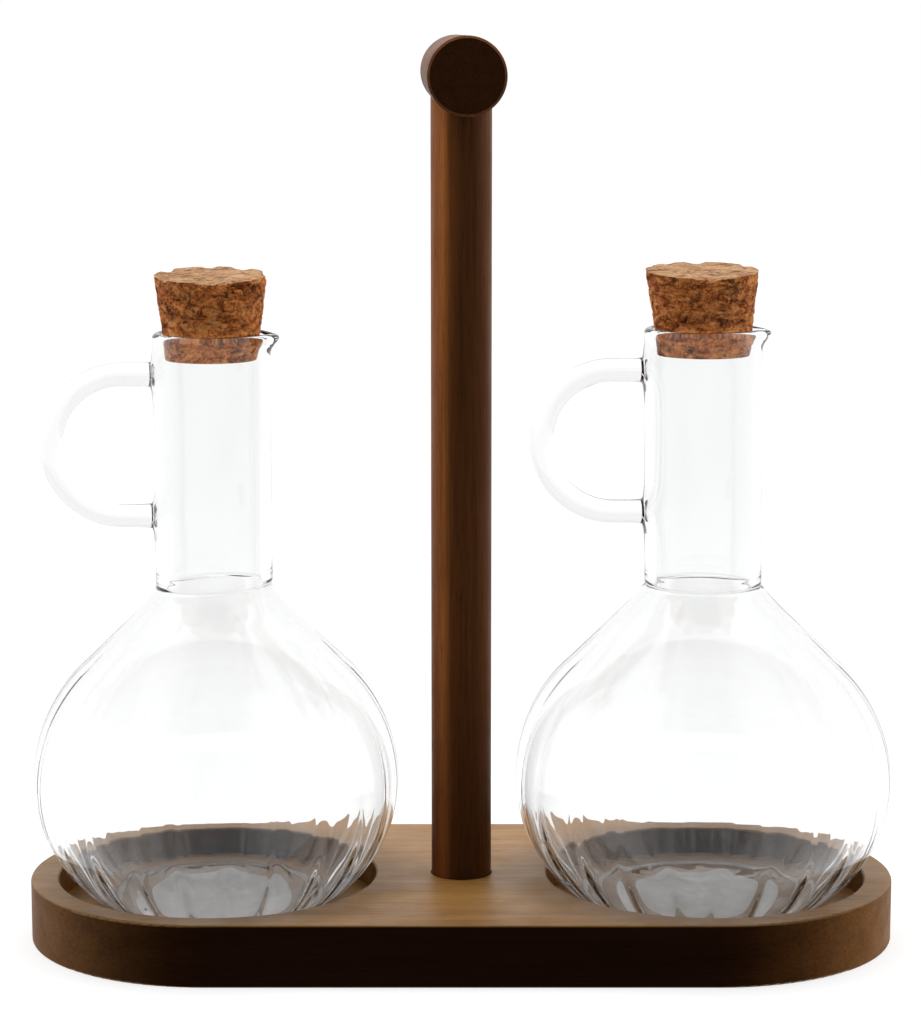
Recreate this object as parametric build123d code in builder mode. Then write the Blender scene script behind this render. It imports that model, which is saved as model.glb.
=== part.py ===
"""Cruet set: two blown-glass bottles with corks in a wooden stand with a T-shaped carrying handle.

Frame: origin at the centre of the base's underside, +X along the base towards the right bottle,
-Y towards the front, +Z up. All sizes are in millimetres.
"""

from build123d import *
from math import asin, degrees
import os

# Stand: a stadium-shaped board, a round post and a round crossbar
BASE_LENGTH = 224.0
BASE_DEPTH = 96.0
BASE_THICKNESS = 16.0
BASE_EDGE_ROUND = 0.6
RECESS_RADIUS = 41.3
RECESS_DEPTH = 8.0
RECESS_CHAMFER = 0.4
RECESS_X = 63.5
POST_RADIUS = 7.75
POST_CHAMFER = 0.5
SOCKET_RADIUS = 8.0
SOCKET_DEPTH = 5.0
CROSSBAR_RADIUS = 9.5
CROSSBAR_LENGTH = 96.0
CROSSBAR_AXIS_Z = 222.5
CROSSBAR_TURN = 1.7
CROSSBAR_CHAMFER = 0.6

# Hidden joinery: a glued dowel under the crossbar and a wood screw up through the base
DOWEL_RADIUS = 3.0
DOWEL_LENGTH = 24.0
DOWEL_IN_CROSSBAR = 10.0
GLUE_GROOVE_RADIUS = 0.25
GLUE_GROOVE_COUNT = 12
SCREW_LENGTH = 35.0
SCREW_HEAD_RADIUS = 4.25
SCREW_CORE_RADIUS = 1.5
SCREW_THREAD_RADIUS = 2.25
SCREW_PITCH = 1.8
SCREW_THREAD_COUNT = 12
CROSS_SLOT_LENGTH = 4.4
CROSS_SLOT_WIDTH = 0.9
CROSS_SLOT_DEPTH = 1.8
CROSS_SLOT_TAPER = 12
SCREW_HOLE_RADIUS = 2.4
SCREW_SINK = 0.4

# Bottles: a bowl, a neck tube with a pouring lip, and a handle bent from solid rod
FLOOR_Z = BASE_THICKNESS - RECESS_DEPTH
BELLY_Z = 41.5
LOWER_BEND = 37.2
UPPER_BEND = 42.0
UPPER_TURN = 46.5
SLOPE_LENGTH = 18.6
BOWL_WALL = 2.2
BOWL_BOTTOM = 3.4
HEEL_ROUND = 1.2
PUNT_RADIUS = 18.0
PUNT_RISE = 2.0
NECK_RADIUS = 15.0
NECK_BORE_RADIUS = 12.6
WELD_Z = 92.5
WELD_BEAD = 0.35
WELD_BAND = 4.0
RIM_ROUND = 0.7
LIP_REACH = 2.6
LIP_HEIGHT = 4.5
LIP_HALF_WIDTH = 5.0
HANDLE_ROD_RADIUS = 3.0
HANDLE_BEND_RADIUS = 18.2
HANDLE_REACH = 41.3
HANDLE_BELOW_RIM = 10.75
WELD_PAD_RADIUS = 4.5
WELD_PAD_LENGTH = 4.0
WELD_PAD_OVERLAP = 0.5

# Corks: tapered stoppers that stand about two thirds out of the neck
CORK_TOP_RADIUS = 14.4
CORK_BOTTOM_RADIUS = 11.6
CORK_HEIGHT = 22.0
CORK_DEPTH_IN_NECK = 6.8
CORK_EDGE_ROUND = 0.6

# The two hand-made bottles differ a little in girth and height
BOTTLES = {
    "left": {"x": -63.5, "belly_radius": 47.4, "rim_z": 157.4},
    "right": {"x": 62.6, "belly_radius": 48.7, "rim_z": 158.6},
}


def upright_plane(x):
    """A vertical drawing plane through a bottle's axis: local X is +X and local Y is +Z."""
    return Plane(origin=(x, 0, 0), x_dir=(1, 0, 0), z_dir=(0, -1, 0))


def upright_axis(x):
    """The vertical axis of a bottle."""
    return Axis((x, 0, 0), (0, 0, 1))


def make_base_board():
    """The board, with a round recess for each bottle, the post's socket and the screw's hole."""
    with BuildPart() as board:
        with BuildSketch():
            SlotOverall(BASE_LENGTH, BASE_DEPTH)
        extrude(amount=BASE_THICKNESS)
        rims = board.edges().filter_by(Plane.XY)
        fillet(rims, BASE_EDGE_ROUND)
        with BuildSketch(Plane.XY.offset(FLOOR_Z)):
            with Locations((-RECESS_X, 0), (RECESS_X, 0)):
                Circle(RECESS_RADIUS)
        extrude(amount=RECESS_DEPTH, mode=Mode.SUBTRACT)
        with BuildSketch(Plane.XY.offset(BASE_THICKNESS - SOCKET_DEPTH)):
            Circle(SOCKET_RADIUS)
        extrude(amount=SOCKET_DEPTH, mode=Mode.SUBTRACT)
        top_circles = board.edges().filter_by(GeomType.CIRCLE).group_by(Axis.Z)[-1]
        recess_edges = top_circles.filter_by(lambda edge: SOCKET_RADIUS < edge.radius < BASE_DEPTH / 2 - 1)
        chamfer(recess_edges, RECESS_CHAMFER)
        with Locations(Location((0, 0, 0), (180, 0, 0))):
            CounterSinkHole(SCREW_HOLE_RADIUS, SCREW_HEAD_RADIUS + SCREW_SINK, BASE_THICKNESS)
    return board.part


def make_post():
    """The dowel-rod post: coped on top to seat the crossbar, and bored for its dowel and screw."""
    foot_z = BASE_THICKNESS - SOCKET_DEPTH
    saddle_z = CROSSBAR_AXIS_Z - CROSSBAR_RADIUS
    with BuildPart() as post:
        with BuildSketch(Plane.XY.offset(foot_z)):
            Circle(POST_RADIUS)
        extrude(amount=CROSSBAR_AXIS_Z - foot_z)
        chamfer(post.edges().group_by(Axis.Z)[0], POST_CHAMFER)
        with Locations(Location((0, 0, CROSSBAR_AXIS_Z), (90, CROSSBAR_TURN, 0))):
            Cylinder(CROSSBAR_RADIUS, CROSSBAR_LENGTH, mode=Mode.SUBTRACT)
        with BuildSketch(Plane.XY.offset(saddle_z - DOWEL_LENGTH + DOWEL_IN_CROSSBAR)):
            Circle(DOWEL_RADIUS)
        extrude(amount=DOWEL_LENGTH, mode=Mode.SUBTRACT)
        with BuildSketch(Plane.XY.offset(foot_z)):
            Circle(SCREW_CORE_RADIUS)
        extrude(amount=SCREW_LENGTH, mode=Mode.SUBTRACT)
    return post.part


def make_crossbar():
    """The round grip along the depth of the stand, with a blind hole for the dowel below."""
    turned_plane = Plane(Location((0, 0, CROSSBAR_AXIS_Z), (90, CROSSBAR_TURN, 0)))
    with BuildPart() as crossbar:
        with BuildSketch(turned_plane):
            Circle(CROSSBAR_RADIUS)
        extrude(amount=CROSSBAR_LENGTH / 2, both=True)
        end_edges = crossbar.edges().filter_by(GeomType.CIRCLE)
        chamfer(end_edges, CROSSBAR_CHAMFER)
        with BuildSketch(Plane.XY.offset(CROSSBAR_AXIS_Z - CROSSBAR_RADIUS + DOWEL_IN_CROSSBAR)):
            Circle(DOWEL_RADIUS)
        extrude(amount=-2 * DOWEL_IN_CROSSBAR, mode=Mode.SUBTRACT)
    return crossbar.part


def make_dowel():
    """The glued dowel between the post and the crossbar, with glue grooves along its sides."""
    bottom_z = CROSSBAR_AXIS_Z - CROSSBAR_RADIUS + DOWEL_IN_CROSSBAR - DOWEL_LENGTH
    with BuildPart() as dowel:
        with BuildSketch(Plane.XY.offset(bottom_z)):
            Circle(DOWEL_RADIUS)
            with PolarLocations(DOWEL_RADIUS, GLUE_GROOVE_COUNT):
                Circle(GLUE_GROOVE_RADIUS, mode=Mode.SUBTRACT)
        extrude(amount=DOWEL_LENGTH)
    return dowel.part


def make_screw():
    """The countersunk wood screw: head, cross recess, core, saw-tooth thread and point."""
    head_z = SCREW_SINK
    neck_z = head_z + SCREW_HEAD_RADIUS - SCREW_CORE_RADIUS
    tip_z = head_z + SCREW_LENGTH
    point_z = tip_z - 2 * SCREW_CORE_RADIUS
    thread_z = point_z - SCREW_THREAD_COUNT * SCREW_PITCH
    outline = [(0, head_z), (SCREW_HEAD_RADIUS, head_z), (SCREW_CORE_RADIUS, neck_z)]
    for turn in range(SCREW_THREAD_COUNT):
        turn_z = thread_z + turn * SCREW_PITCH
        outline.append((SCREW_CORE_RADIUS, turn_z))
        outline.append((SCREW_THREAD_RADIUS, turn_z + 0.3 * SCREW_PITCH))
    outline += [(SCREW_CORE_RADIUS, point_z), (0, tip_z)]
    with BuildPart() as screw:
        with BuildSketch(Plane.XZ):
            with BuildLine():
                Polyline(outline, close=True)
            make_face()
        revolve(axis=Axis.Z)
        with BuildSketch(Plane.XY.offset(head_z)):
            Rectangle(CROSS_SLOT_LENGTH, CROSS_SLOT_WIDTH)
            Rectangle(CROSS_SLOT_WIDTH, CROSS_SLOT_LENGTH)
        extrude(amount=CROSS_SLOT_DEPTH, taper=CROSS_SLOT_TAPER, mode=Mode.SUBTRACT)
    return screw.part


def bowl_wall(belly_radius, inset, lowest_z, top_radius):
    """Draw one side of the bowl's wall, moved inwards by inset: two arcs, a slope and a flare.

    The arcs meet at the belly. Returns the lowest and the highest point of the wall.
    """
    belly = (belly_radius - inset, BELLY_Z)
    lower_bend = LOWER_BEND - inset
    lower_turn = degrees(asin((BELLY_Z - lowest_z) / lower_bend))
    lower = JernArc(belly, (0, -1), lower_bend, -lower_turn)
    upper = JernArc(belly, (0, 1), UPPER_BEND - inset, UPPER_TURN)
    slope = Line(upper @ 1, upper @ 1 + (upper % 1) * SLOPE_LENGTH)
    flare = TangentArc(slope @ 1, (top_radius, WELD_Z), tangent=slope % 1)
    return lower @ 1, flare @ 1


def make_bowl(x, belly_radius):
    """The blown bowl: an onion-shaped shell on a flat foot ring with a shallow punt beneath."""
    floor_z = FLOOR_Z + BOWL_BOTTOM
    with BuildPart() as bowl:
        with BuildSketch(Plane.XZ) as half_section:
            with BuildLine():
                foot, rim = bowl_wall(belly_radius, 0, FLOOR_Z, NECK_RADIUS)
                floor_edge, bore = bowl_wall(belly_radius, BOWL_WALL, floor_z, NECK_BORE_RADIUS)
                Line(rim, bore)
                Line(floor_edge, (0, floor_z))
                Line((0, floor_z), (0, FLOOR_Z + PUNT_RISE))
                ThreePointArc(
                    (0, FLOOR_Z + PUNT_RISE),
                    (PUNT_RADIUS / 2, FLOOR_Z + 0.75 * PUNT_RISE),
                    (PUNT_RADIUS, FLOOR_Z),
                )
                Line((PUNT_RADIUS, FLOOR_Z), foot)
            make_face()
            heel = half_section.vertices().sort_by_distance((foot.X, 0, FLOOR_Z))[0]
            fillet(heel, HEEL_ROUND)
        revolve(axis=Axis.Z)
    return bowl.part.moved(Location((x, 0, 0)))


def make_neck(x, rim_z):
    """The neck tube: a weld bead at its foot, a fire-polished rim and a small pouring lip."""
    with BuildPart() as neck:
        with BuildSketch(upright_plane(x)):
            with BuildLine():
                Polyline(
                    (NECK_RADIUS, WELD_Z + WELD_BAND),
                    (NECK_RADIUS, rim_z),
                    (0, rim_z),
                    (0, WELD_Z),
                    (NECK_RADIUS, WELD_Z),
                )
                ThreePointArc(
                    (NECK_RADIUS, WELD_Z),
                    (NECK_RADIUS + WELD_BEAD, WELD_Z + WELD_BAND / 2),
                    (NECK_RADIUS, WELD_Z + WELD_BAND),
                )
            make_face()
        revolve(axis=upright_axis(x))
        with BuildSketch(Plane.XY.offset(rim_z - LIP_HEIGHT)):
            with Locations((x + NECK_RADIUS / 2, 0)):
                Ellipse(NECK_RADIUS / 2 - 0.2, LIP_HALF_WIDTH)
        with BuildSketch(Plane.XY.offset(rim_z)):
            with Locations((x + NECK_RADIUS / 2 + LIP_REACH / 2, 0)):
                Ellipse(NECK_RADIUS / 2 + LIP_REACH / 2, LIP_HALF_WIDTH + 1)
        loft()
        with BuildSketch(Plane.XY.offset(WELD_Z)):
            with Locations((x, 0)):
                Circle(NECK_BORE_RADIUS)
        extrude(amount=rim_z - WELD_Z, mode=Mode.SUBTRACT)
        wall = NECK_RADIUS - NECK_BORE_RADIUS
        with BuildSketch(Plane.XY.offset(rim_z - LIP_HEIGHT + 1)):
            with Locations((x + NECK_BORE_RADIUS / 2, 0)):
                Ellipse(NECK_BORE_RADIUS / 2 - 0.5, LIP_HALF_WIDTH - wall / 2)
        with BuildSketch(Plane.XY.offset(rim_z)):
            with Locations((x + NECK_BORE_RADIUS / 2 + LIP_REACH / 2, 0)):
                Ellipse(NECK_BORE_RADIUS / 2 + LIP_REACH / 2, LIP_HALF_WIDTH)
        loft(mode=Mode.SUBTRACT)
        fillet(neck.edges().group_by(Axis.Z)[-1], RIM_ROUND)
    return neck.part


def make_handle(x, rim_z):
    """The handle: solid rod bent to a D, with flared pads where it is welded to the neck."""
    top_z = rim_z - HANDLE_BELOW_RIM
    bottom_z = top_z - 2 * HANDLE_BEND_RADIUS
    bend_x = HANDLE_BEND_RADIUS - HANDLE_REACH
    root_x = -NECK_RADIUS + 2
    pad_x = -NECK_RADIUS - WELD_PAD_LENGTH / 2
    with BuildPart() as handle:
        with BuildLine(upright_plane(x)) as rod_path:
            Line((root_x, top_z), (bend_x, top_z))
            ThreePointArc(
                (bend_x, top_z),
                (-HANDLE_REACH, top_z - HANDLE_BEND_RADIUS),
                (bend_x, bottom_z),
            )
            Line((bend_x, bottom_z), (root_x, bottom_z))
        with BuildSketch(Plane(origin=rod_path.line @ 0, z_dir=rod_path.line % 0)):
            Circle(HANDLE_ROD_RADIUS)
        sweep(path=rod_path.line)
        for pad_z in (top_z, bottom_z):
            with Locations(Location((x + pad_x + WELD_PAD_OVERLAP, 0, pad_z), (0, -90, 0))):
                Cone(WELD_PAD_RADIUS, HANDLE_ROD_RADIUS, WELD_PAD_LENGTH)
        with BuildSketch(Plane.XY.offset(WELD_Z + WELD_BAND)):
            with Locations((x, 0)):
                Circle(NECK_RADIUS)
        extrude(amount=rim_z - WELD_Z - WELD_BAND, mode=Mode.SUBTRACT)
    return handle.part


def make_cork(x, rim_z):
    """The tapered cork, with both edges broken."""
    bottom_z = rim_z - CORK_DEPTH_IN_NECK
    with BuildPart() as cork:
        with BuildSketch(upright_plane(x)):
            with BuildLine():
                Polyline(
                    (0, bottom_z),
                    (CORK_BOTTOM_RADIUS, bottom_z),
                    (CORK_TOP_RADIUS, bottom_z + CORK_HEIGHT),
                    (0, bottom_z + CORK_HEIGHT),
                    close=True,
                )
            make_face()
        revolve(axis=upright_axis(x))
        fillet(cork.edges().filter_by(GeomType.CIRCLE), CORK_EDGE_ROUND)
    return cork.part


def save(piece, name):
    """Label one finished piece and write it to its own STEP file."""
    piece.label = name
    export_step(piece, f"parts/{name}.step")


os.makedirs("parts", exist_ok=True)
save(make_base_board(), "base_board")
save(make_post(), "post")
save(make_crossbar(), "crossbar")
save(make_dowel(), "crossbar_dowel")
save(make_screw(), "base_screw")
for side, bottle in BOTTLES.items():
    save(make_bowl(bottle["x"], bottle["belly_radius"]), f"{side}_bowl")
    save(make_neck(bottle["x"], bottle["rim_z"]), f"{side}_neck")
    save(make_handle(bottle["x"], bottle["rim_z"]), f"{side}_handle")
    save(make_cork(bottle["x"], bottle["rim_z"]), f"{side}_cork")
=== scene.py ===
"""Looks of the cruet set: blown-glass bottles, grained corks and a stained wooden stand.

Frame: the CAD row frame in metres, +X towards the right bottle, -Y towards the front, +Z up.
Lengths named here are in millimetres until mm() turns them into metres.
"""

import math
import random

import bmesh
import bpy
import numpy as np
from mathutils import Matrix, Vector, noise


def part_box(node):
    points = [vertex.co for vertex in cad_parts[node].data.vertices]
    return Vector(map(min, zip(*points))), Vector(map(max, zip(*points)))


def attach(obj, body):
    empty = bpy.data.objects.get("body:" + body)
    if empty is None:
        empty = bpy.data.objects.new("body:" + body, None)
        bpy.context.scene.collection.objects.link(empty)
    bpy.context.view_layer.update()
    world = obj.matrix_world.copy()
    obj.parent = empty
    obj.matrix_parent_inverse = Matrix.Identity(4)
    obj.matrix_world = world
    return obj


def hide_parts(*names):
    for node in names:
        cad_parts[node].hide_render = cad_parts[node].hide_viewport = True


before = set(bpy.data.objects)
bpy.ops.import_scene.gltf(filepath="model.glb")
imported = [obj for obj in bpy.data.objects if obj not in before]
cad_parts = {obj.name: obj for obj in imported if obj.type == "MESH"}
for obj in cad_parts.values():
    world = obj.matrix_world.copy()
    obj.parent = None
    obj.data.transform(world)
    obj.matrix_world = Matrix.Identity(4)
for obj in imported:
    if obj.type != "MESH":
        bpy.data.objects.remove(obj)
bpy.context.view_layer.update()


def mm(length):
    """Millimetres as metres."""
    return length / 1000


# ---------------------------------------------------------------- sizes read off the CAD nodes

SIDES = ("left", "right")
FOOT_Z = 1000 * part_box("left_bowl")[0].z
RIM_Z = {side: 1000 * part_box(side + "_neck")[1].z for side in SIDES}
BOWL_BOX = {side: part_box(side + "_bowl") for side in SIDES}
BOTTLE_X = {side: 500 * (low.x + high.x) for side, (low, high) in BOWL_BOX.items()}
BELLY_RADIUS = {side: 500 * (high.x - low.x) - 0.1 for side, (low, high) in BOWL_BOX.items()}
BELLY_Z = 41.5
LOWER_BEND = 37.2
UPPER_BEND = 42.0
UPPER_TURN = math.radians(46.5)
SLOPE_LENGTH = 18.6
WALL = 1.8
INNER_FLOOR_Z = 10.4
PUNT_RISE = 0.4
FLOOR_RADIUS = 27.0
NECK_RADIUS = 15.0
BORE_RADIUS = 12.6
WELD_Z = 92.5
ROD_RADIUS = 3.0
ROD_BEND = 18.2
ROD_REACH = 41.3
ROD_BELOW_RIM = 10.75
RIBS = 22
RIB_STEPS = (-0.5, -0.36, -0.26, -0.19, -0.13, -0.08, -0.04, 0, 0.04, 0.08, 0.13, 0.19, 0.26, 0.36)
RIB_WIDTH = 0.17
RIB_PHASE = {"left": 8.2, "right": -1.5}
NECK_LEAN = {"left": 0.0, "right": -0.8}
LEAN_START_Z = 50
LEAN_HEIGHT = 75
PUNT_RADIUS = 19
HEEL_ANGLE = math.radians(25)
RIM_ROUND = 1.2
CORK_BOTTOM_RADIUS = 11.6
CORK_SIDE_SLOPE = 2.75
CORK_TILT = 0.07
CORK_LEAN = {"left": 0.0, "right": math.tan(math.radians(2.3))}


# ---------------------------------------------------------------- node materials


def graph(name):
    """A new node material: returns it with its tree and its Principled shader."""
    material = bpy.data.materials.new(name)
    material.use_nodes = True
    tree = material.node_tree
    return material, tree, tree.nodes["Principled BSDF"]


def add(tree, kind, values=(), **settings):
    """Add one node. values are (input, value or socket) pairs; settings are node properties."""
    made = tree.nodes.new(kind)
    for key, value in settings.items():
        setattr(made, key, value)
    for key, value in values:
        if isinstance(value, bpy.types.NodeSocket):
            tree.links.new(value, made.inputs[key])
        else:
            made.inputs[key].default_value = value
    return made


def math_node(tree, operation, *values, clamp=False):
    """A Math node's result."""
    made = add(tree, "ShaderNodeMath", enumerate(values), operation=operation, use_clamp=clamp)
    return made.outputs[0]


def ramp(tree, factor, stops):
    """A colour ramp over factor; stops are (position, colour or grey) pairs."""
    made = add(tree, "ShaderNodeValToRGB", [("Fac", factor)])
    elements = made.color_ramp.elements
    while len(elements) < len(stops):
        elements.new(0.5)
    for element, (position, colour) in zip(elements, stops):
        element.position = position
        if isinstance(colour, (int, float)):
            colour = (colour,) * 3
        element.color = (*colour, 1)
    return made.outputs["Color"]


def mix(tree, factor, first, second, blend="MIX"):
    """Two colours mixed by factor."""
    made = tree.nodes.new("ShaderNodeMix")
    made.data_type = "RGBA"
    made.blend_type = blend
    for socket, value in ((made.inputs[0], factor), (made.inputs[6], first), (made.inputs[7], second)):
        if isinstance(value, bpy.types.NodeSocket):
            tree.links.new(value, socket)
        elif isinstance(value, (int, float)):
            socket.default_value = value
        else:
            socket.default_value = (*value, 1)
    return made.outputs[2]


def noise_at(tree, vector, scale, detail=2.0, roughness=0.5, distortion=0.0):
    """A noise texture's value."""
    values = [
        ("Vector", vector),
        ("Scale", scale),
        ("Detail", detail),
        ("Roughness", roughness),
        ("Distortion", distortion),
    ]
    return add(tree, "ShaderNodeTexNoise", values).outputs["Fac"]


def stretched(tree, vector, scale):
    """The coordinates scaled along each axis."""
    return add(tree, "ShaderNodeMapping", [("Vector", vector), ("Scale", scale)]).outputs["Vector"]


def object_coordinates(tree):
    """The object-space position and normal."""
    made = tree.nodes.new("ShaderNodeTexCoord")
    return made.outputs["Object"], made.outputs["Normal"]


def bump(tree, height, strength, distance, normal=None):
    """A bump from a height in 0..1."""
    values = [("Height", height), ("Strength", strength), ("Distance", distance)]
    if normal is not None:
        values.append(("Normal", normal))
    return add(tree, "ShaderNodeBump", values).outputs["Normal"]


def wood(name, grain, dark, light, painted_shading=(), end_tone=0.45, roughness=0.45, shine=(0.2, 0.2)):
    """Stained close-grained wood with the grain along one axis ("x", "y" or "z").

    The pairs of painted shade and painted light are (source, stops) pairs that multiply the colour,
    where the stops are a ramp over the source: "nx" is the X part of the normal, on faces that look
    sideways; "y" is the place along Y, 0.5 in the middle and 0.1 per centimetre; "z" is the height,
    0.04 per centimetre. They are the shading of the light they were matched under painted into the
    colour, not the wood's own colour. end_tone darkens end grain, and None leaves it out. shine is
    the specular level of faces that look sideways and of faces that look up.
    """
    material, tree, shader = graph(name)
    position, normal = object_coordinates(tree)
    along = "xyz".index(grain)

    def fibre_space(shrink):
        scale = [1.0, 1.0, 1.0]
        scale[along] = shrink
        return stretched(tree, position, scale)

    figure = noise_at(tree, fibre_space(0.06), 150, detail=3, distortion=0.6)
    fibre = noise_at(tree, fibre_space(0.025), 1500, detail=3, roughness=0.65)
    fine = noise_at(tree, fibre_space(0.04), 4200, detail=2)
    pores = noise_at(tree, fibre_space(0.07), 2300, detail=1)
    blend_value = math_node(tree, "MULTIPLY", figure, 0.4)
    blend_value = math_node(tree, "MULTIPLY_ADD", fibre, 0.45, blend_value)
    blend_value = math_node(tree, "MULTIPLY_ADD", fine, 0.15, blend_value)
    colour = ramp(tree, blend_value, [(0.38, dark), (0.62, light)])
    pore_mask = ramp(tree, pores, [(0.62, 0.0), (0.72, 1.0)])
    pore_amount = math_node(tree, "MULTIPLY", pore_mask, 0.4)
    colour = mix(tree, pore_amount, colour, [c * 0.4 for c in dark])

    axes = add(tree, "ShaderNodeSeparateXYZ", [(0, normal)])
    places = add(tree, "ShaderNodeSeparateXYZ", [(0, position)])
    if end_tone is not None:
        facing_end = math_node(tree, "ABSOLUTE", axes.outputs[along])
        end_mask = ramp(tree, facing_end, [(0.75, 0.0), (0.92, 1.0)])
        end_grain = noise_at(tree, fibre_space(0.2), 1800, detail=3)
        end_patches = noise_at(tree, fibre_space(0.0), 240, detail=3)
        end_value = math_node(tree, "MULTIPLY", end_grain, 0.65)
        end_value = math_node(tree, "MULTIPLY_ADD", end_patches, 0.35, end_value)
        end_dark = [c * end_tone * 0.8 for c in dark]
        end_light = [c * end_tone for c in light]
        end_colour = ramp(tree, end_value, [(0.3, end_dark), (0.7, end_light)])
        colour = mix(tree, end_mask, colour, end_colour)
    upward = math_node(tree, "ABSOLUTE", axes.outputs[2])
    # Painted shade and painted light: each pair multiplies the colour by its ramp.
    for source, stops in painted_shading:
        if source == "z":
            factor = math_node(tree, "MULTIPLY", places.outputs[2], 4.0)
        elif source == "y":
            factor = math_node(tree, "MULTIPLY_ADD", places.outputs[1], 10.0, 0.5)
        else:
            factor = math_node(tree, "MULTIPLY_ADD", axes.outputs[0], 0.5, 0.5)
        painted_tone = ramp(tree, factor, stops)
        # With the grain along X, faces that look up are kept out of the painted shade.
        if source == "nx" and grain == "x":
            top_mask = ramp(tree, upward, [(0.2, 0.0), (0.97, 1.0)])
            painted_tone = mix(tree, top_mask, painted_tone, (1.0, 1.0, 1.0))
        colour = mix(tree, 1.0, colour, painted_tone, "MULTIPLY")
    tree.links.new(colour, shader.inputs["Base Color"])

    patches = noise_at(tree, position, 90, detail=2)
    gloss = ramp(tree, patches, [(0.3, roughness - 0.05), (0.7, roughness + 0.07)])
    gloss = mix(tree, pore_amount, gloss, (0.75,) * 3)
    tree.links.new(gloss, shader.inputs["Roughness"])
    level = ramp(tree, upward, [(0.35, shine[0]), (0.8, shine[1])])
    tree.links.new(level, shader.inputs["Specular IOR Level"])
    height = math_node(tree, "MULTIPLY_ADD", fibre, 0.5, math_node(tree, "MULTIPLY", pore_mask, -0.9))
    relief = bump(tree, height, 0.25, mm(0.06))
    relief = bump(tree, fine, 0.15, mm(0.02), relief)
    tree.links.new(relief, shader.inputs["Normal"])
    shader.inputs["IOR"].default_value = 1.48
    return material


def glass(name):
    """Clear borosilicate glass with the faint cords and film of blown ware, and a pale foot that lets
    only part of the light through.
    """
    material, tree, shader = graph(name)
    position, _ = object_coordinates(tree)
    cords = noise_at(tree, stretched(tree, position, (1, 1, 0.35)), 130, detail=2)
    tint = ramp(tree, cords, [(0.3, (0.945, 0.95, 0.95)), (0.7, (0.965, 0.968, 0.968))])
    tree.links.new(tint, shader.inputs["Base Color"])
    film = noise_at(tree, position, 60, detail=3)
    haze = ramp(tree, film, [(0.55, 0.0), (0.85, 0.012)])
    tree.links.new(haze, shader.inputs["Roughness"])
    relief = bump(tree, cords, 0.02, mm(0.4))
    tree.links.new(relief, shader.inputs["Normal"])
    # Below about 8.8 mm the glass lets through only 12 to 34 percent of the light and scatters the rest,
    # so the foot shows pale.
    clouds = noise_at(tree, position, 190, detail=3)
    foot_transmission = ramp(tree, clouds, [(0.3, 0.34), (0.7, 0.12)])
    places = add(tree, "ShaderNodeSeparateXYZ", [(0, position)])
    height = math_node(tree, "MULTIPLY", places.outputs[2], 50.0)
    above_foot = ramp(tree, height, [(0.435, 0.0), (0.445, 1.0)])
    clear = mix(tree, above_foot, foot_transmission, (1.0, 1.0, 1.0))
    tree.links.new(clear, shader.inputs["Transmission Weight"])
    shader.inputs["IOR"].default_value = 1.46
    return material


def cork_stuff(name):
    """Natural cork: crumbly orange-brown sides with dark pits, and a paler sanded top."""
    material, tree, shader = graph(name)
    position, normal = object_coordinates(tree)
    flat = stretched(tree, position, (1, 1, 1.9))
    coarse = noise_at(tree, flat, 260, detail=5, roughness=0.7, distortion=0.8)
    grit = noise_at(tree, position, 1500, detail=3, roughness=0.7)
    body = math_node(tree, "MULTIPLY_ADD", coarse, 0.65, math_node(tree, "MULTIPLY", grit, 0.35))
    side = ramp(
        tree,
        body,
        [
            (0.36, (0.035, 0.008, 0.003)),
            (0.44, (0.32, 0.076, 0.015)),
            (0.52, (0.74, 0.24, 0.055)),
            (0.65, (0.98, 0.5, 0.2)),
        ],
    )
    top = ramp(
        tree,
        body,
        [
            (0.36, (0.08, 0.03, 0.012)),
            (0.44, (0.3, 0.15, 0.065)),
            (0.55, (0.46, 0.27, 0.14)),
            (0.7, (0.6, 0.4, 0.24)),
        ],
    )
    cells = add(tree, "ShaderNodeTexVoronoi", [("Vector", flat), ("Scale", 330)]).outputs["Distance"]
    pit = ramp(tree, cells, [(0.05, 1.0), (0.16, 0.0)])
    pit_amount = math_node(tree, "MULTIPLY", pit, 0.5)
    flakes = noise_at(tree, flat, 150, detail=4, roughness=0.6, distortion=1.6)
    crevice = ramp(tree, flakes, [(0.34, 1.0), (0.42, 0.0)])
    flake_tone = ramp(tree, flakes, [(0.4, 0.78), (0.62, 1.15)])
    axes = add(tree, "ShaderNodeSeparateXYZ", [(0, normal)])
    upward = ramp(tree, axes.outputs[2], [(0.55, 0.0), (0.8, 1.0)])
    colour = mix(tree, upward, mix(tree, 1.0, side, flake_tone, "MULTIPLY"), top)
    colour = mix(tree, pit_amount, colour, (0.06, 0.02, 0.008))
    colour = mix(tree, math_node(tree, "MULTIPLY", crevice, 0.75), colour, (0.035, 0.01, 0.004))
    tree.links.new(colour, shader.inputs["Base Color"])
    shader.inputs["Roughness"].default_value = 0.85
    shader.inputs["Specular IOR Level"].default_value = 0.25
    height = math_node(tree, "MULTIPLY_ADD", pit, -0.5, body)
    tree.links.new(bump(tree, height, 0.6, mm(0.35)), shader.inputs["Normal"])
    return material


def steel(name):
    """Zinc-plated steel with fine turning marks."""
    material, tree, shader = graph(name)
    position, _ = object_coordinates(tree)
    marks = noise_at(tree, stretched(tree, position, (1, 1, 6)), 900, detail=3)
    tint = ramp(tree, marks, [(0.3, (0.45, 0.44, 0.41)), (0.7, (0.66, 0.65, 0.61))])
    tree.links.new(tint, shader.inputs["Base Color"])
    gloss = ramp(tree, marks, [(0.3, 0.22), (0.7, 0.38)])
    tree.links.new(gloss, shader.inputs["Roughness"])
    tree.links.new(bump(tree, marks, 0.2, mm(0.03)), shader.inputs["Normal"])
    shader.inputs["Metallic"].default_value = 1.0
    return material


# ---------------------------------------------------------------- blown-glass bottles


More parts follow.
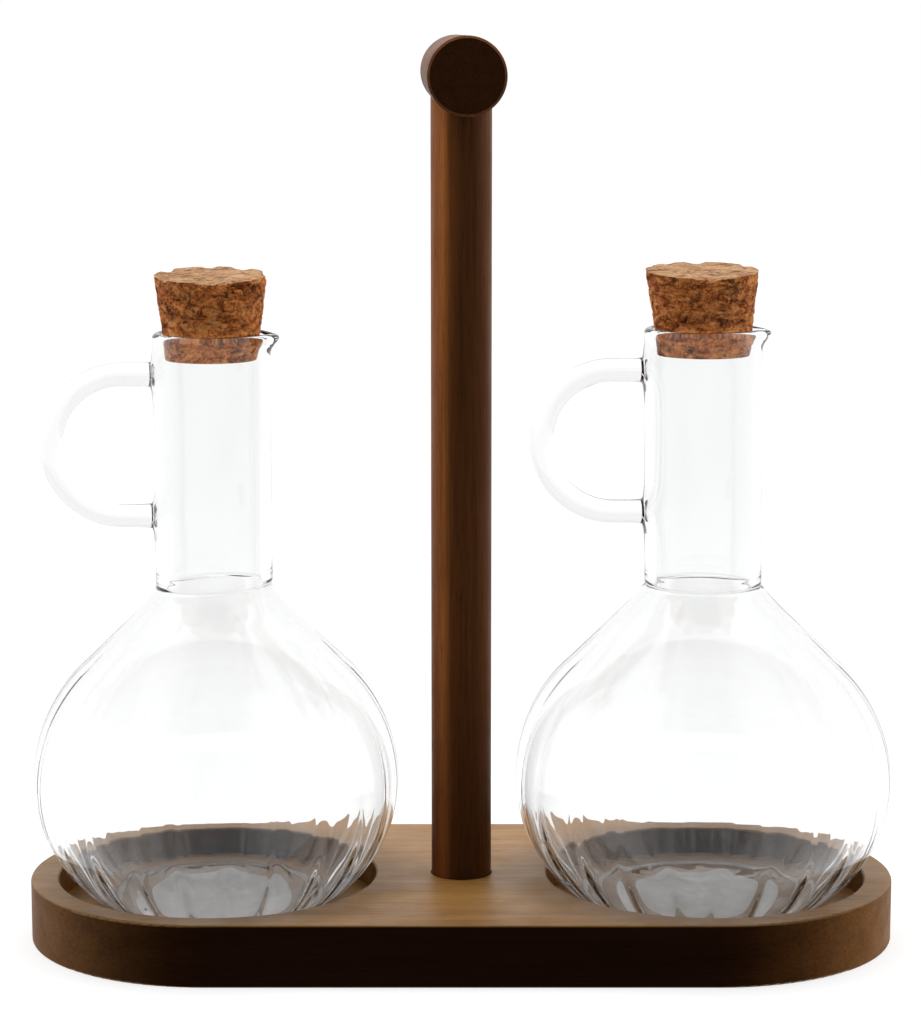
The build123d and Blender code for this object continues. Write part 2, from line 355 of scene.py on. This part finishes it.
def tangent_arc(start, heading, end, steps):
    """Points after start on the arc that leaves start along heading and reaches end."""
    start, heading, end = (np.array(v, float) for v in (start, heading, end))
    heading = heading / np.linalg.norm(heading)
    side = np.array([-heading[1], heading[0]])
    chord = end - start
    bend = chord @ chord / (2 * (chord @ side))
    centre = start + side * bend
    first = math.atan2(*(start - centre)[::-1])
    last = math.atan2(*(end - centre)[::-1])
    sweep = (last - first + math.pi) % (2 * math.pi) - math.pi
    angles = first + sweep * np.arange(1, steps + 1) / steps
    return [tuple(centre + abs(bend) * np.array([math.cos(a), math.sin(a)])) for a in angles]


def bowl_profile(belly_radius, inset, top_radius, lowest):
    """(radius, z) points of one face of the bowl, from angle lowest below the belly up to the weld."""
    points = []
    lower_centre = belly_radius - LOWER_BEND
    upper_centre = belly_radius - UPPER_BEND
    for angle in np.linspace(-lowest, 0, 34):
        radius = LOWER_BEND - inset
        points.append((lower_centre + radius * math.cos(angle), BELLY_Z + radius * math.sin(angle)))
    for angle in np.linspace(0, UPPER_TURN, 34)[1:]:
        radius = UPPER_BEND - inset
        points.append((upper_centre + radius * math.cos(angle), BELLY_Z + radius * math.sin(angle)))
    heading = np.array([-math.sin(UPPER_TURN), math.cos(UPPER_TURN)])
    corner = np.array(points[-1])
    for share in np.linspace(0, 1, 11)[1:]:
        points.append(tuple(corner + heading * SLOPE_LENGTH * share))
    points += tangent_arc(points[-1], heading, (top_radius, WELD_Z), 40)
    return points


def bezier(points, steps):
    """Points along a cubic curve, both ends included."""
    first, second, third, fourth = (np.array(p, float) for p in points)
    curve = []
    for t in np.linspace(0, 1, steps):
        u = 1 - t
        curve.append(tuple(u**3 * first + 3 * u * u * t * second + 3 * u * t * t * third + t**3 * fourth))
    return curve


def neck_shift(side, z):
    """How far the bottle's upper part leans sideways at height z."""
    return NECK_LEAN[side] * max(z - LEAN_START_Z, 0) / LEAN_HEIGHT


def soft_floor(z, floor_z, width):
    """The higher of z and floor_z, with a rounded change from one to the other."""
    return 0.5 * (z + floor_z + math.hypot(z - floor_z, width))


def bottle_profile(side):
    """The closed outline from the centre of the foot, out and up, over the rim and down inside.

    Each entry is (radius, z, inside), with inside 0 on the outer face and 1 on the inner one.
    """
    rim_z = RIM_Z[side]
    belly = BELLY_RADIUS[side]
    outline = []
    for radius in np.linspace(0, PUNT_RADIUS, 15):
        rise = PUNT_RISE * math.cos(radius / PUNT_RADIUS * math.pi / 2) ** 1.3
        outline.append((radius, FOOT_Z + rise, 0.0))
    lowest = math.acos((22.0 - (belly - LOWER_BEND)) / LOWER_BEND)
    for radius, z in bowl_profile(belly, 0, NECK_RADIUS, lowest):
        outline.append((radius, soft_floor(z, FOOT_Z - 0.25, 0.5) if z < 14 else z, 0.0))
    neck_top = rim_z - RIM_ROUND
    weld_steps = np.arange(WELD_Z + 0.15, WELD_Z + 5, 0.15)
    tube_steps = np.linspace(WELD_Z + 5, rim_z - 8, 34)
    lip_steps = np.linspace(rim_z - 8, neck_top, 14)[1:]
    climb = np.concatenate([weld_steps, tube_steps, lip_steps])
    outline += [(NECK_RADIUS, z, 0.0) for z in climb]
    middle = (NECK_RADIUS + BORE_RADIUS) / 2
    half = (NECK_RADIUS - BORE_RADIUS) / 2
    for angle in np.linspace(0, math.pi, 13)[1:-1]:
        inside = angle / math.pi
        outline.append((middle + half * math.cos(angle), neck_top + half * math.sin(angle), inside))
    outline += [(BORE_RADIUS, z, 1.0) for z in climb[::-1]]
    inner = bowl_profile(belly, WALL, BORE_RADIUS, HEEL_ANGLE)
    outline += [(radius, z, 1.0) for radius, z in inner[::-1]]
    tangent = np.array((math.sin(HEEL_ANGLE), math.cos(HEEL_ANGLE)))
    heel_top = np.array(inner[0])
    heel = [
        (FLOOR_RADIUS, INNER_FLOOR_Z),
        (FLOOR_RADIUS + 4.6, INNER_FLOOR_Z + 0.4),
        tuple(heel_top - 8 * tangent),
        tuple(heel_top),
    ]
    outline += [(radius, z, 1.0) for radius, z in bezier(heel, 26)[::-1][1:]]
    for radius in np.linspace(FLOOR_RADIUS - 1.2, 0, 20):
        outline.append((radius, INNER_FLOOR_Z, 1.0))
    return outline


def smooth_step(value, low, high):
    """0 below low, 1 above high and a smooth climb between."""
    share = min(max((value - low) / (high - low), 0), 1)
    return share * share * (3 - 2 * share)


def rib_height(z):
    """How far the inner ribs stand in from the wall at height z."""
    return float(np.interp(z, (8, 21, 30, 41, 60, 80, 95), (0.72, 0.62, 0.2, 0.18, 0.17, 0.12, 0.0)))


def bottle_point(radius, z, inside, angle, rib, side):
    """One point of the wall, with ribs, weld, pouring lip and the waviness of hand work.

    rib is how far the point is from the nearest rib's crest, as a share of the rib pitch.
    """
    rim_z = RIM_Z[side]
    seed = 3.7 if side == "left" else 21.3
    around = Vector((math.cos(angle) * 1.4, math.sin(angle) * 1.4, z / 24 + seed))
    bowl = 1 - smooth_step(z, 80, 96)
    reach = min(radius / 12, 1)
    wave = noise.noise(around) * (0.03 + 0.04 * bowl) * reach
    if inside > 0.5:
        around.z += 9
        wave += noise.noise(around) * (0.03 + 0.04 * bowl) * reach
        ridge = math.exp(-((rib / RIB_WIDTH) ** 2))
        radius -= rib_height(z) * ridge * smooth_step(radius, 25, 31) * inside
        if z < 20:
            spot = Vector((radius * math.cos(angle) / 8, radius * math.sin(angle) / 8, seed))
            dip = 1 - smooth_step(radius, 23, 30)
            ripple = 0.4 if side == "right" else 0.08
            z += dip * ripple * (0.5 * noise.noise(spot) + 0.3 * noise.noise(spot * 2.3))
    elif z < FOOT_Z + 1.3 and radius < 18:
        spot = Vector((radius * math.cos(angle) / 6, radius * math.sin(angle) / 6, seed + 5))
        z += abs(0.06 * noise.noise(spot)) * (1 - radius / 18)
    lean = math.radians(2.4) if side == "left" else math.radians(-0.4)
    weld_z = WELD_Z + radius * math.tan(lean) * math.cos(angle)
    if abs(z - weld_z) < 6:
        if inside > 0.5:
            wave -= 0.12 * math.exp(-(((z - weld_z - 0.8) / 1.6) ** 2))
        else:
            wave -= 0.3 * math.exp(-(((z - weld_z) / 0.34) ** 2))
            wave += 0.05 * math.exp(-(((z - weld_z - 2.6) / 0.5) ** 2))
    radius += wave
    x = radius * math.cos(angle)
    y = radius * math.sin(angle)
    if z > rim_z - 7 and x > 0:
        lift = smooth_step(z, rim_z - 6.5, rim_z - 0.2) ** 1.6
        beak = math.exp(-((y / 4.4) ** 2)) * smooth_step(x, 4, 11)
        x += 2.45 * lift * beak
        z -= 0.5 * lift * beak
    if z > WELD_Z and x < 0:
        top_z = rim_z - ROD_BELOW_RIM
        for weld in (top_z, top_z - 2 * ROD_BEND):
            pull = math.exp(-(((z - weld) / 4.4) ** 2) - (y / 5.5) ** 2)
            x -= (1.3 if inside > 0.5 else 0.9) * pull
    x += neck_shift(side, z)
    return x, y, z


def ring_mesh(name, rings, centre_start, centre_end):
    """A closed mesh from rings of points, with one point closing each end."""
    count = len(rings[0])
    vertices = [point for ring in rings for point in ring]
    first_cap = len(vertices)
    vertices += [centre_start, centre_end]
    faces = []
    for row in range(len(rings) - 1):
        for column in range(count):
            following = (column + 1) % count
            low = row * count
            high = low + count
            faces.append((low + column, low + following, high + following, high + column))
    last = (len(rings) - 1) * count
    for column in range(count):
        following = (column + 1) % count
        faces.append((first_cap, following, column))
        faces.append((first_cap + 1, last + column, last + following))
    mesh = bpy.data.meshes.new(name)
    mesh.from_pydata(vertices, [], faces)
    mesh.validate()
    shape = bmesh.new()
    shape.from_mesh(mesh)
    bmesh.ops.recalc_face_normals(shape, faces=shape.faces)
    shape.to_mesh(mesh)
    shape.free()
    mesh.shade_smooth()
    made = bpy.data.objects.new(name, mesh)
    bpy.context.scene.collection.objects.link(made)
    return made


def make_body(side):
    """The bottle without its handle, as one closed wall."""
    x0 = BOTTLE_X[side]
    random.seed(side)
    columns = []
    for rib in range(RIBS):
        jitter = random.uniform(-0.06, 0.06)
        for step in RIB_STEPS:
            turn = rib + step + jitter * (1 - 2 * abs(step))
            columns.append((math.radians(90 - RIB_PHASE[side]) + turn * 2 * math.pi / RIBS, step))
    outline = bottle_profile(side)
    rings = []
    for radius, z, inside in outline[1:-1]:
        ring = []
        for angle, rib in columns:
            x, y, height = bottle_point(radius, z, inside, angle, rib, side)
            ring.append((mm(x0 + x), mm(y), mm(height)))
        rings.append(ring)
    ends = []
    for radius, z, inside in (outline[0], outline[-1]):
        ends.append((mm(x0), 0, mm(bottle_point(radius, z, inside, 0, 0, side)[2])))
    return ring_mesh(side + "_bottle_glass", rings, *ends)


def make_handle(side):
    """The rod handle, which flares where it is melted onto the neck."""
    x0 = BOTTLE_X[side]
    top_z = RIM_Z[side] - ROD_BELOW_RIM
    middle_z = top_z - ROD_BEND
    bend_x = ROD_BEND - ROD_REACH
    root = -NECK_RADIUS + 0.9
    path = [(x, top_z) for x in np.linspace(root, root - 5, 16)]
    path += [(x, top_z) for x in np.linspace(root - 5, bend_x, 4)[1:]]
    for angle in np.linspace(math.pi / 2, 3 * math.pi / 2, 61)[1:]:
        path.append((bend_x + ROD_BEND * math.cos(angle), middle_z + ROD_BEND * math.sin(angle)))
    path += [(x, 2 * middle_z - z) for x, z in path[:19][::-1]][1:]
    path = np.array(path)
    heading = np.gradient(path, axis=0)
    heading /= np.linalg.norm(heading, axis=1)[:, None]
    rings = []
    for index, ((x, z), (hx, hz)) in enumerate(zip(path, heading)):
        gap = -NECK_RADIUS - x
        flare = 0.4 * math.exp(-max(gap, 0.0) / 1.2)
        wobble = 0.08 * noise.noise(Vector((index / 9, 0.3, len(side))))
        radius = ROD_RADIUS + wobble + flare
        ring = []
        for angle in np.linspace(0, 2 * math.pi, 40, endpoint=False):
            out = radius * math.cos(angle)
            y = radius * math.sin(angle)
            px = x - hz * out
            pz = z + hx * out
            hug = 1 - smooth_step(gap, 0, 3.5)
            px += hug * (NECK_RADIUS - math.sqrt(NECK_RADIUS**2 - y * y))
            px += neck_shift(side, pz)
            ring.append((mm(x0 + px), mm(y), mm(pz)))
        rings.append(ring)
    ends = [(mm(x0 + x + neck_shift(side, z)), 0, mm(z)) for x, z in (path[0], path[-1])]
    return ring_mesh(side + "_handle_rod", rings, *ends)


def soften_welds(mesh, side):
    """Round off the seams where the rod meets the neck."""
    shape = bmesh.new()
    shape.from_mesh(mesh)
    top_z = RIM_Z[side] - ROD_BELOW_RIM
    near = []
    for vertex in shape.verts:
        x, y, z = (1000 * value for value in vertex.co)
        x -= BOTTLE_X[side]
        x -= neck_shift(side, z)
        off_weld = min(math.hypot(z - top_z, y), math.hypot(z - top_z + 2 * ROD_BEND, y))
        if off_weld < 7 and x < 0 and 13.9 < math.hypot(x, y) < NECK_RADIUS + 3:
            near.append(vertex)
    for _ in range(4):
        bmesh.ops.smooth_vert(
            shape, verts=near, factor=0.5, use_axis_x=True, use_axis_y=True, use_axis_z=True
        )
    shape.to_mesh(mesh)
    shape.free()


def make_bottle(side, material):
    """Bottle and handle fused into one piece of glass."""
    body = make_body(side)
    rod = make_handle(side)
    fuse = body.modifiers.new("fuse", "BOOLEAN")
    fuse.operation = "UNION"
    fuse.solver = "EXACT"
    fuse.object = rod
    evaluated = body.evaluated_get(bpy.context.evaluated_depsgraph_get())
    fused = bpy.data.meshes.new_from_object(evaluated)
    body.modifiers.clear()
    body.data = fused
    soften_welds(fused, side)
    fused.shade_smooth()
    bpy.data.objects.remove(rod)
    fused.materials.clear()
    fused.materials.append(material)
    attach(body, side + "_bottle")
    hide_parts(side + "_bowl", side + "_neck", side + "_handle")
    return body


# ---------------------------------------------------------------- corks


def make_cork(side, material):
    """A tapered cork with torn pits down its sides and a chipped, slightly tilted top."""
    low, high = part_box(side + "_cork")
    bottom_z = 1000 * low.z
    x0 = BOTTLE_X[side] + neck_shift(side, bottom_z)
    height = 1000 * (high.z - low.z)
    seed = 11.0 if side == "left" else 47.0
    columns = 240
    angles = np.linspace(0, 2 * math.pi, columns, endpoint=False)
    outline = [(radius, 0.0) for radius in np.linspace(1.2, 11.0, 9)]
    outline += [(11.0 + 0.6 * math.sin(a), 0.6 - 0.6 * math.cos(a)) for a in (0.5, 1.0, 1.5)]
    for share in np.linspace(0.05, 0.96, 58):
        outline.append((CORK_BOTTOM_RADIUS + CORK_SIDE_SLOPE * share, height * share))
    outline += [(14.3, height - 0.5), (14.15, height - 0.2), (13.85, height)]
    outline += [(radius, height) for radius in np.linspace(13.5, 1.2, 26)]
    rings = []
    for radius, rise in outline:
        ring = []
        side_share = smooth_step(rise, 0.3, 1.5) * (1 - smooth_step(rise, height - 0.9, height - 0.1))
        top_share = smooth_step(rise, height - 0.6, height)
        for angle in angles:
            spot = Vector((radius * math.cos(angle), radius * math.sin(angle), rise * 1.6))
            spot += Vector((seed, seed / 2, 0))
            coarse = noise.fractal(spot / 4.2, 0.9, 2.1, 4)
            crack = noise.voronoi(spot / 3.4)[0]
            edge = crack[1] - crack[0]
            pit = max(0.0, 0.14 - edge) / 0.14
            depth = 0.2 * coarse - 0.8 * pit * max(0.0, 0.4 + coarse)
            above_neck = smooth_step(rise, 6.4, 8.0)
            swell = depth * (0.35 + 0.65 * above_neck) if depth > 0 else depth
            r = radius + side_share * min(swell, 0.12 + 0.5 * above_neck)
            chip = noise.noise(Vector((2.6 * math.cos(angle), 2.6 * math.sin(angle), seed)))
            chip = max(0.0, chip - 0.1) * smooth_step(radius, 11.5, 14)
            chip *= smooth_step(rise, height - 2.5, height)
            r -= 1.6 * chip
            lift = top_share * (0.26 * coarse - 0.4 * pit * max(0.0, coarse)) - 1.2 * chip
            z = bottom_z + rise + lift
            y = r * math.sin(angle)
            z += CORK_TILT * y * smooth_step(rise, 8, height) - 0.7 * top_share
            x = x0 + r * math.cos(angle) - CORK_LEAN[side] * (rise - 6)
            ring.append((mm(x), mm(y), mm(min(z, bottom_z + height + 0.9))))
        rings.append(ring)
    ends = [
        (mm(x0), 0, rings[0][0][2]),
        (mm(x0), 0, sum(point[2] for point in rings[-1]) / columns),
    ]
    made = ring_mesh(side + "_cork_grained", rings, *ends)
    made.data.materials.append(material)
    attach(made, side + "_stopper")
    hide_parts(side + "_cork")
    return made


# ---------------------------------------------------------------- room, light and camera


def make_floor():
    """A plain pale floor that is lit only, and throws no light back onto the object."""
    mesh = bpy.data.meshes.new("floor")
    half = 4.0
    corners = [(-half, -half, 0), (half, -half, 0), (half, half, 0), (-half, half, 0)]
    mesh.from_pydata(corners, [], [(0, 1, 2, 3)])
    floor = bpy.data.objects.new("floor", mesh)
    bpy.context.scene.collection.objects.link(floor)
    material, _, shader = graph("pale_floor")
    shader.inputs["Base Color"].default_value = (0.45, 0.45, 0.45, 1)
    shader.inputs["Emission Color"].default_value = (1, 1, 1, 1)
    shader.inputs["Emission Strength"].default_value = 0.72
    shader.inputs["Roughness"].default_value = 1.0
    shader.inputs["Specular IOR Level"].default_value = 0.0
    mesh.materials.append(material)
    floor.visible_diffuse = False
    floor.visible_glossy = False


def make_world():
    """Bright-field studio light: white behind and all round the sides, and dim around the camera."""
    world = bpy.data.worlds.new("studio")
    bpy.context.scene.world = world
    world.use_nodes = True
    tree = world.node_tree
    backdrop = tree.nodes["Background"]
    direction = tree.nodes.new("ShaderNodeTexCoord").outputs["Generated"]
    axes = add(tree, "ShaderNodeSeparateXYZ", [(0, direction)])
    back_share = math_node(tree, "MULTIPLY_ADD", axes.outputs[1], 0.5, 0.5)
    level = ramp(
        tree,
        back_share,
        [(0.0, 0.35), (0.05, 0.38), (0.146, 0.5), (0.25, 0.76), (0.37, 0.95), (0.5, 1.0)],
    )
    upward = math_node(tree, "MULTIPLY_ADD", axes.outputs[2], 0.5, 0.5)
    below = ramp(tree, upward, [(0.44, 0.25), (0.5, 1.0)])
    back_only = ramp(tree, back_share, [(0.35, 0.0), (0.5, 1.0)])
    shade = mix(tree, back_only, below, (1.0, 1.0, 1.0))
    level = mix(tree, 1.0, level, shade, "MULTIPLY")
    overhead = ramp(tree, upward, [(0.62, 0.0), (0.84, 1.0)])
    central = ramp(tree, math_node(tree, "ABSOLUTE", axes.outputs[0]), [(0.2, 1.0), (0.45, 0.0)])
    frontal = ramp(tree, back_share, [(0.57, 1.0), (0.68, 0.0)])
    canopy = mix(tree, 1.0, mix(tree, 1.0, overhead, central, "MULTIPLY"), frontal, "MULTIPLY")
    level = mix(tree, canopy, level, (0.08, 0.08, 0.08))
    tree.links.new(level, backdrop.inputs["Color"])
    backdrop.inputs["Strength"].default_value = 1.0


def make_top_light():
    """A small softbox overhead that lights the tops."""
    data = bpy.data.lights.new("top_softbox", "AREA")
    data.shape = "RECTANGLE"
    data.size = 0.35
    data.size_y = 0.2
    data.energy = 1.4
    light = bpy.data.objects.new("top_softbox", data)
    light.location = (0, 0.03, 0.55)
    aim = Vector((0, 0, 0.12)) - light.location
    light.rotation_euler = aim.to_track_quat("-Z", "Y").to_euler()
    light.visible_glossy = False
    light.visible_transmission = False
    bpy.context.scene.collection.objects.link(light)


def make_camera():
    """A long lens, a little above the bottles and looking slightly down."""
    data = bpy.data.cameras.new("camera")
    data.sensor_width = 36
    data.lens = 105.47
    data.clip_end = 20
    camera = bpy.data.objects.new("camera", data)
    camera.location = (-0.0002, -0.7593, 0.2336)
    camera.rotation_euler = (math.radians(90 - 9.157), 0, 0)
    bpy.context.scene.collection.objects.link(camera)
    bpy.context.scene.camera = camera


def main():
    """Dress every CAD node, build the glass and the corks, and light the set."""
    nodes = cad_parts
    # Painted shade on the board: its front and back faces darkened most, its ends least.
    painted_board_shade = [
        (0.0, (0.6, 0.52, 0.58)),
        (0.12, (0.48, 0.4, 0.42)),
        (0.3, (0.2, 0.15, 0.14)),
        (0.42, (0.09, 0.055, 0.05)),
        (0.5, (0.065, 0.04, 0.045)),
        (0.58, (0.11, 0.07, 0.06)),
        (0.7, (0.28, 0.2, 0.17)),
        (0.88, (0.66, 0.54, 0.5)),
        (1.0, (0.85, 0.75, 0.78)),
    ]
    # Painted shade: the board darker along its front edge.
    painted_front_shade = [(0.04, 0.76), (0.22, 1.0)]
    # Painted light and painted shade on the post: its left side brightened up to 2.6 times, its front and
    # back darkened.
    painted_post_light_and_shade = [(0.0, 1.8), (0.2, 2.6), (0.32, 1.0), (0.5, 0.56), (0.75, 0.65), (1.0, 1.15)]
    # Painted shade: the post darker towards its foot.
    painted_post_foot_shade = [(0.06, 0.55), (0.3, 1.0)]
    finishes = {
        "base_board": wood(
            "stained_board_painted_shade",
            "x",
            (0.29, 0.135, 0.033),
            (0.48, 0.245, 0.064),
            painted_shading=[("nx", painted_board_shade), ("y", painted_front_shade)],
            end_tone=None,
            shine=(0.05, 0.5),
        ),
        "post": wood(
            "stained_post_painted_light_and_shade",
            "z",
            (0.11, 0.034, 0.007),
            (0.2, 0.066, 0.015),
            painted_shading=[("nx", painted_post_light_and_shade), ("z", painted_post_foot_shade)],
            shine=(0.1, 0.1),
        ),
        "crossbar": wood(
            "stained_bar",
            "y",
            (0.1, 0.03, 0.006),
            (0.17, 0.055, 0.013),
            end_tone=0.36,
            shine=(0.06, 0.15),
        ),
        "crossbar_dowel": wood("plain_dowel", "z", (0.45, 0.28, 0.15), (0.62, 0.43, 0.26), end_tone=0.7),
        "base_screw": steel("zinc_steel"),
    }
    for name, material in finishes.items():
        mesh = nodes[name].data
        mesh.materials.clear()
        mesh.materials.append(material)
    clear_glass = glass("clear_glass")
    cork = cork_stuff("cork")
    for side in BOTTLE_X:
        make_bottle(side, clear_glass)
        make_cork(side, cork)
    make_floor()
    make_world()
    make_top_light()
    make_camera()
    scene = bpy.context.scene
    scene.view_settings.view_transform = "Standard"
    scene.cycles.max_bounces = 32
    scene.cycles.transmission_bounces = 28
    scene.cycles.glossy_bounces = 10


main()
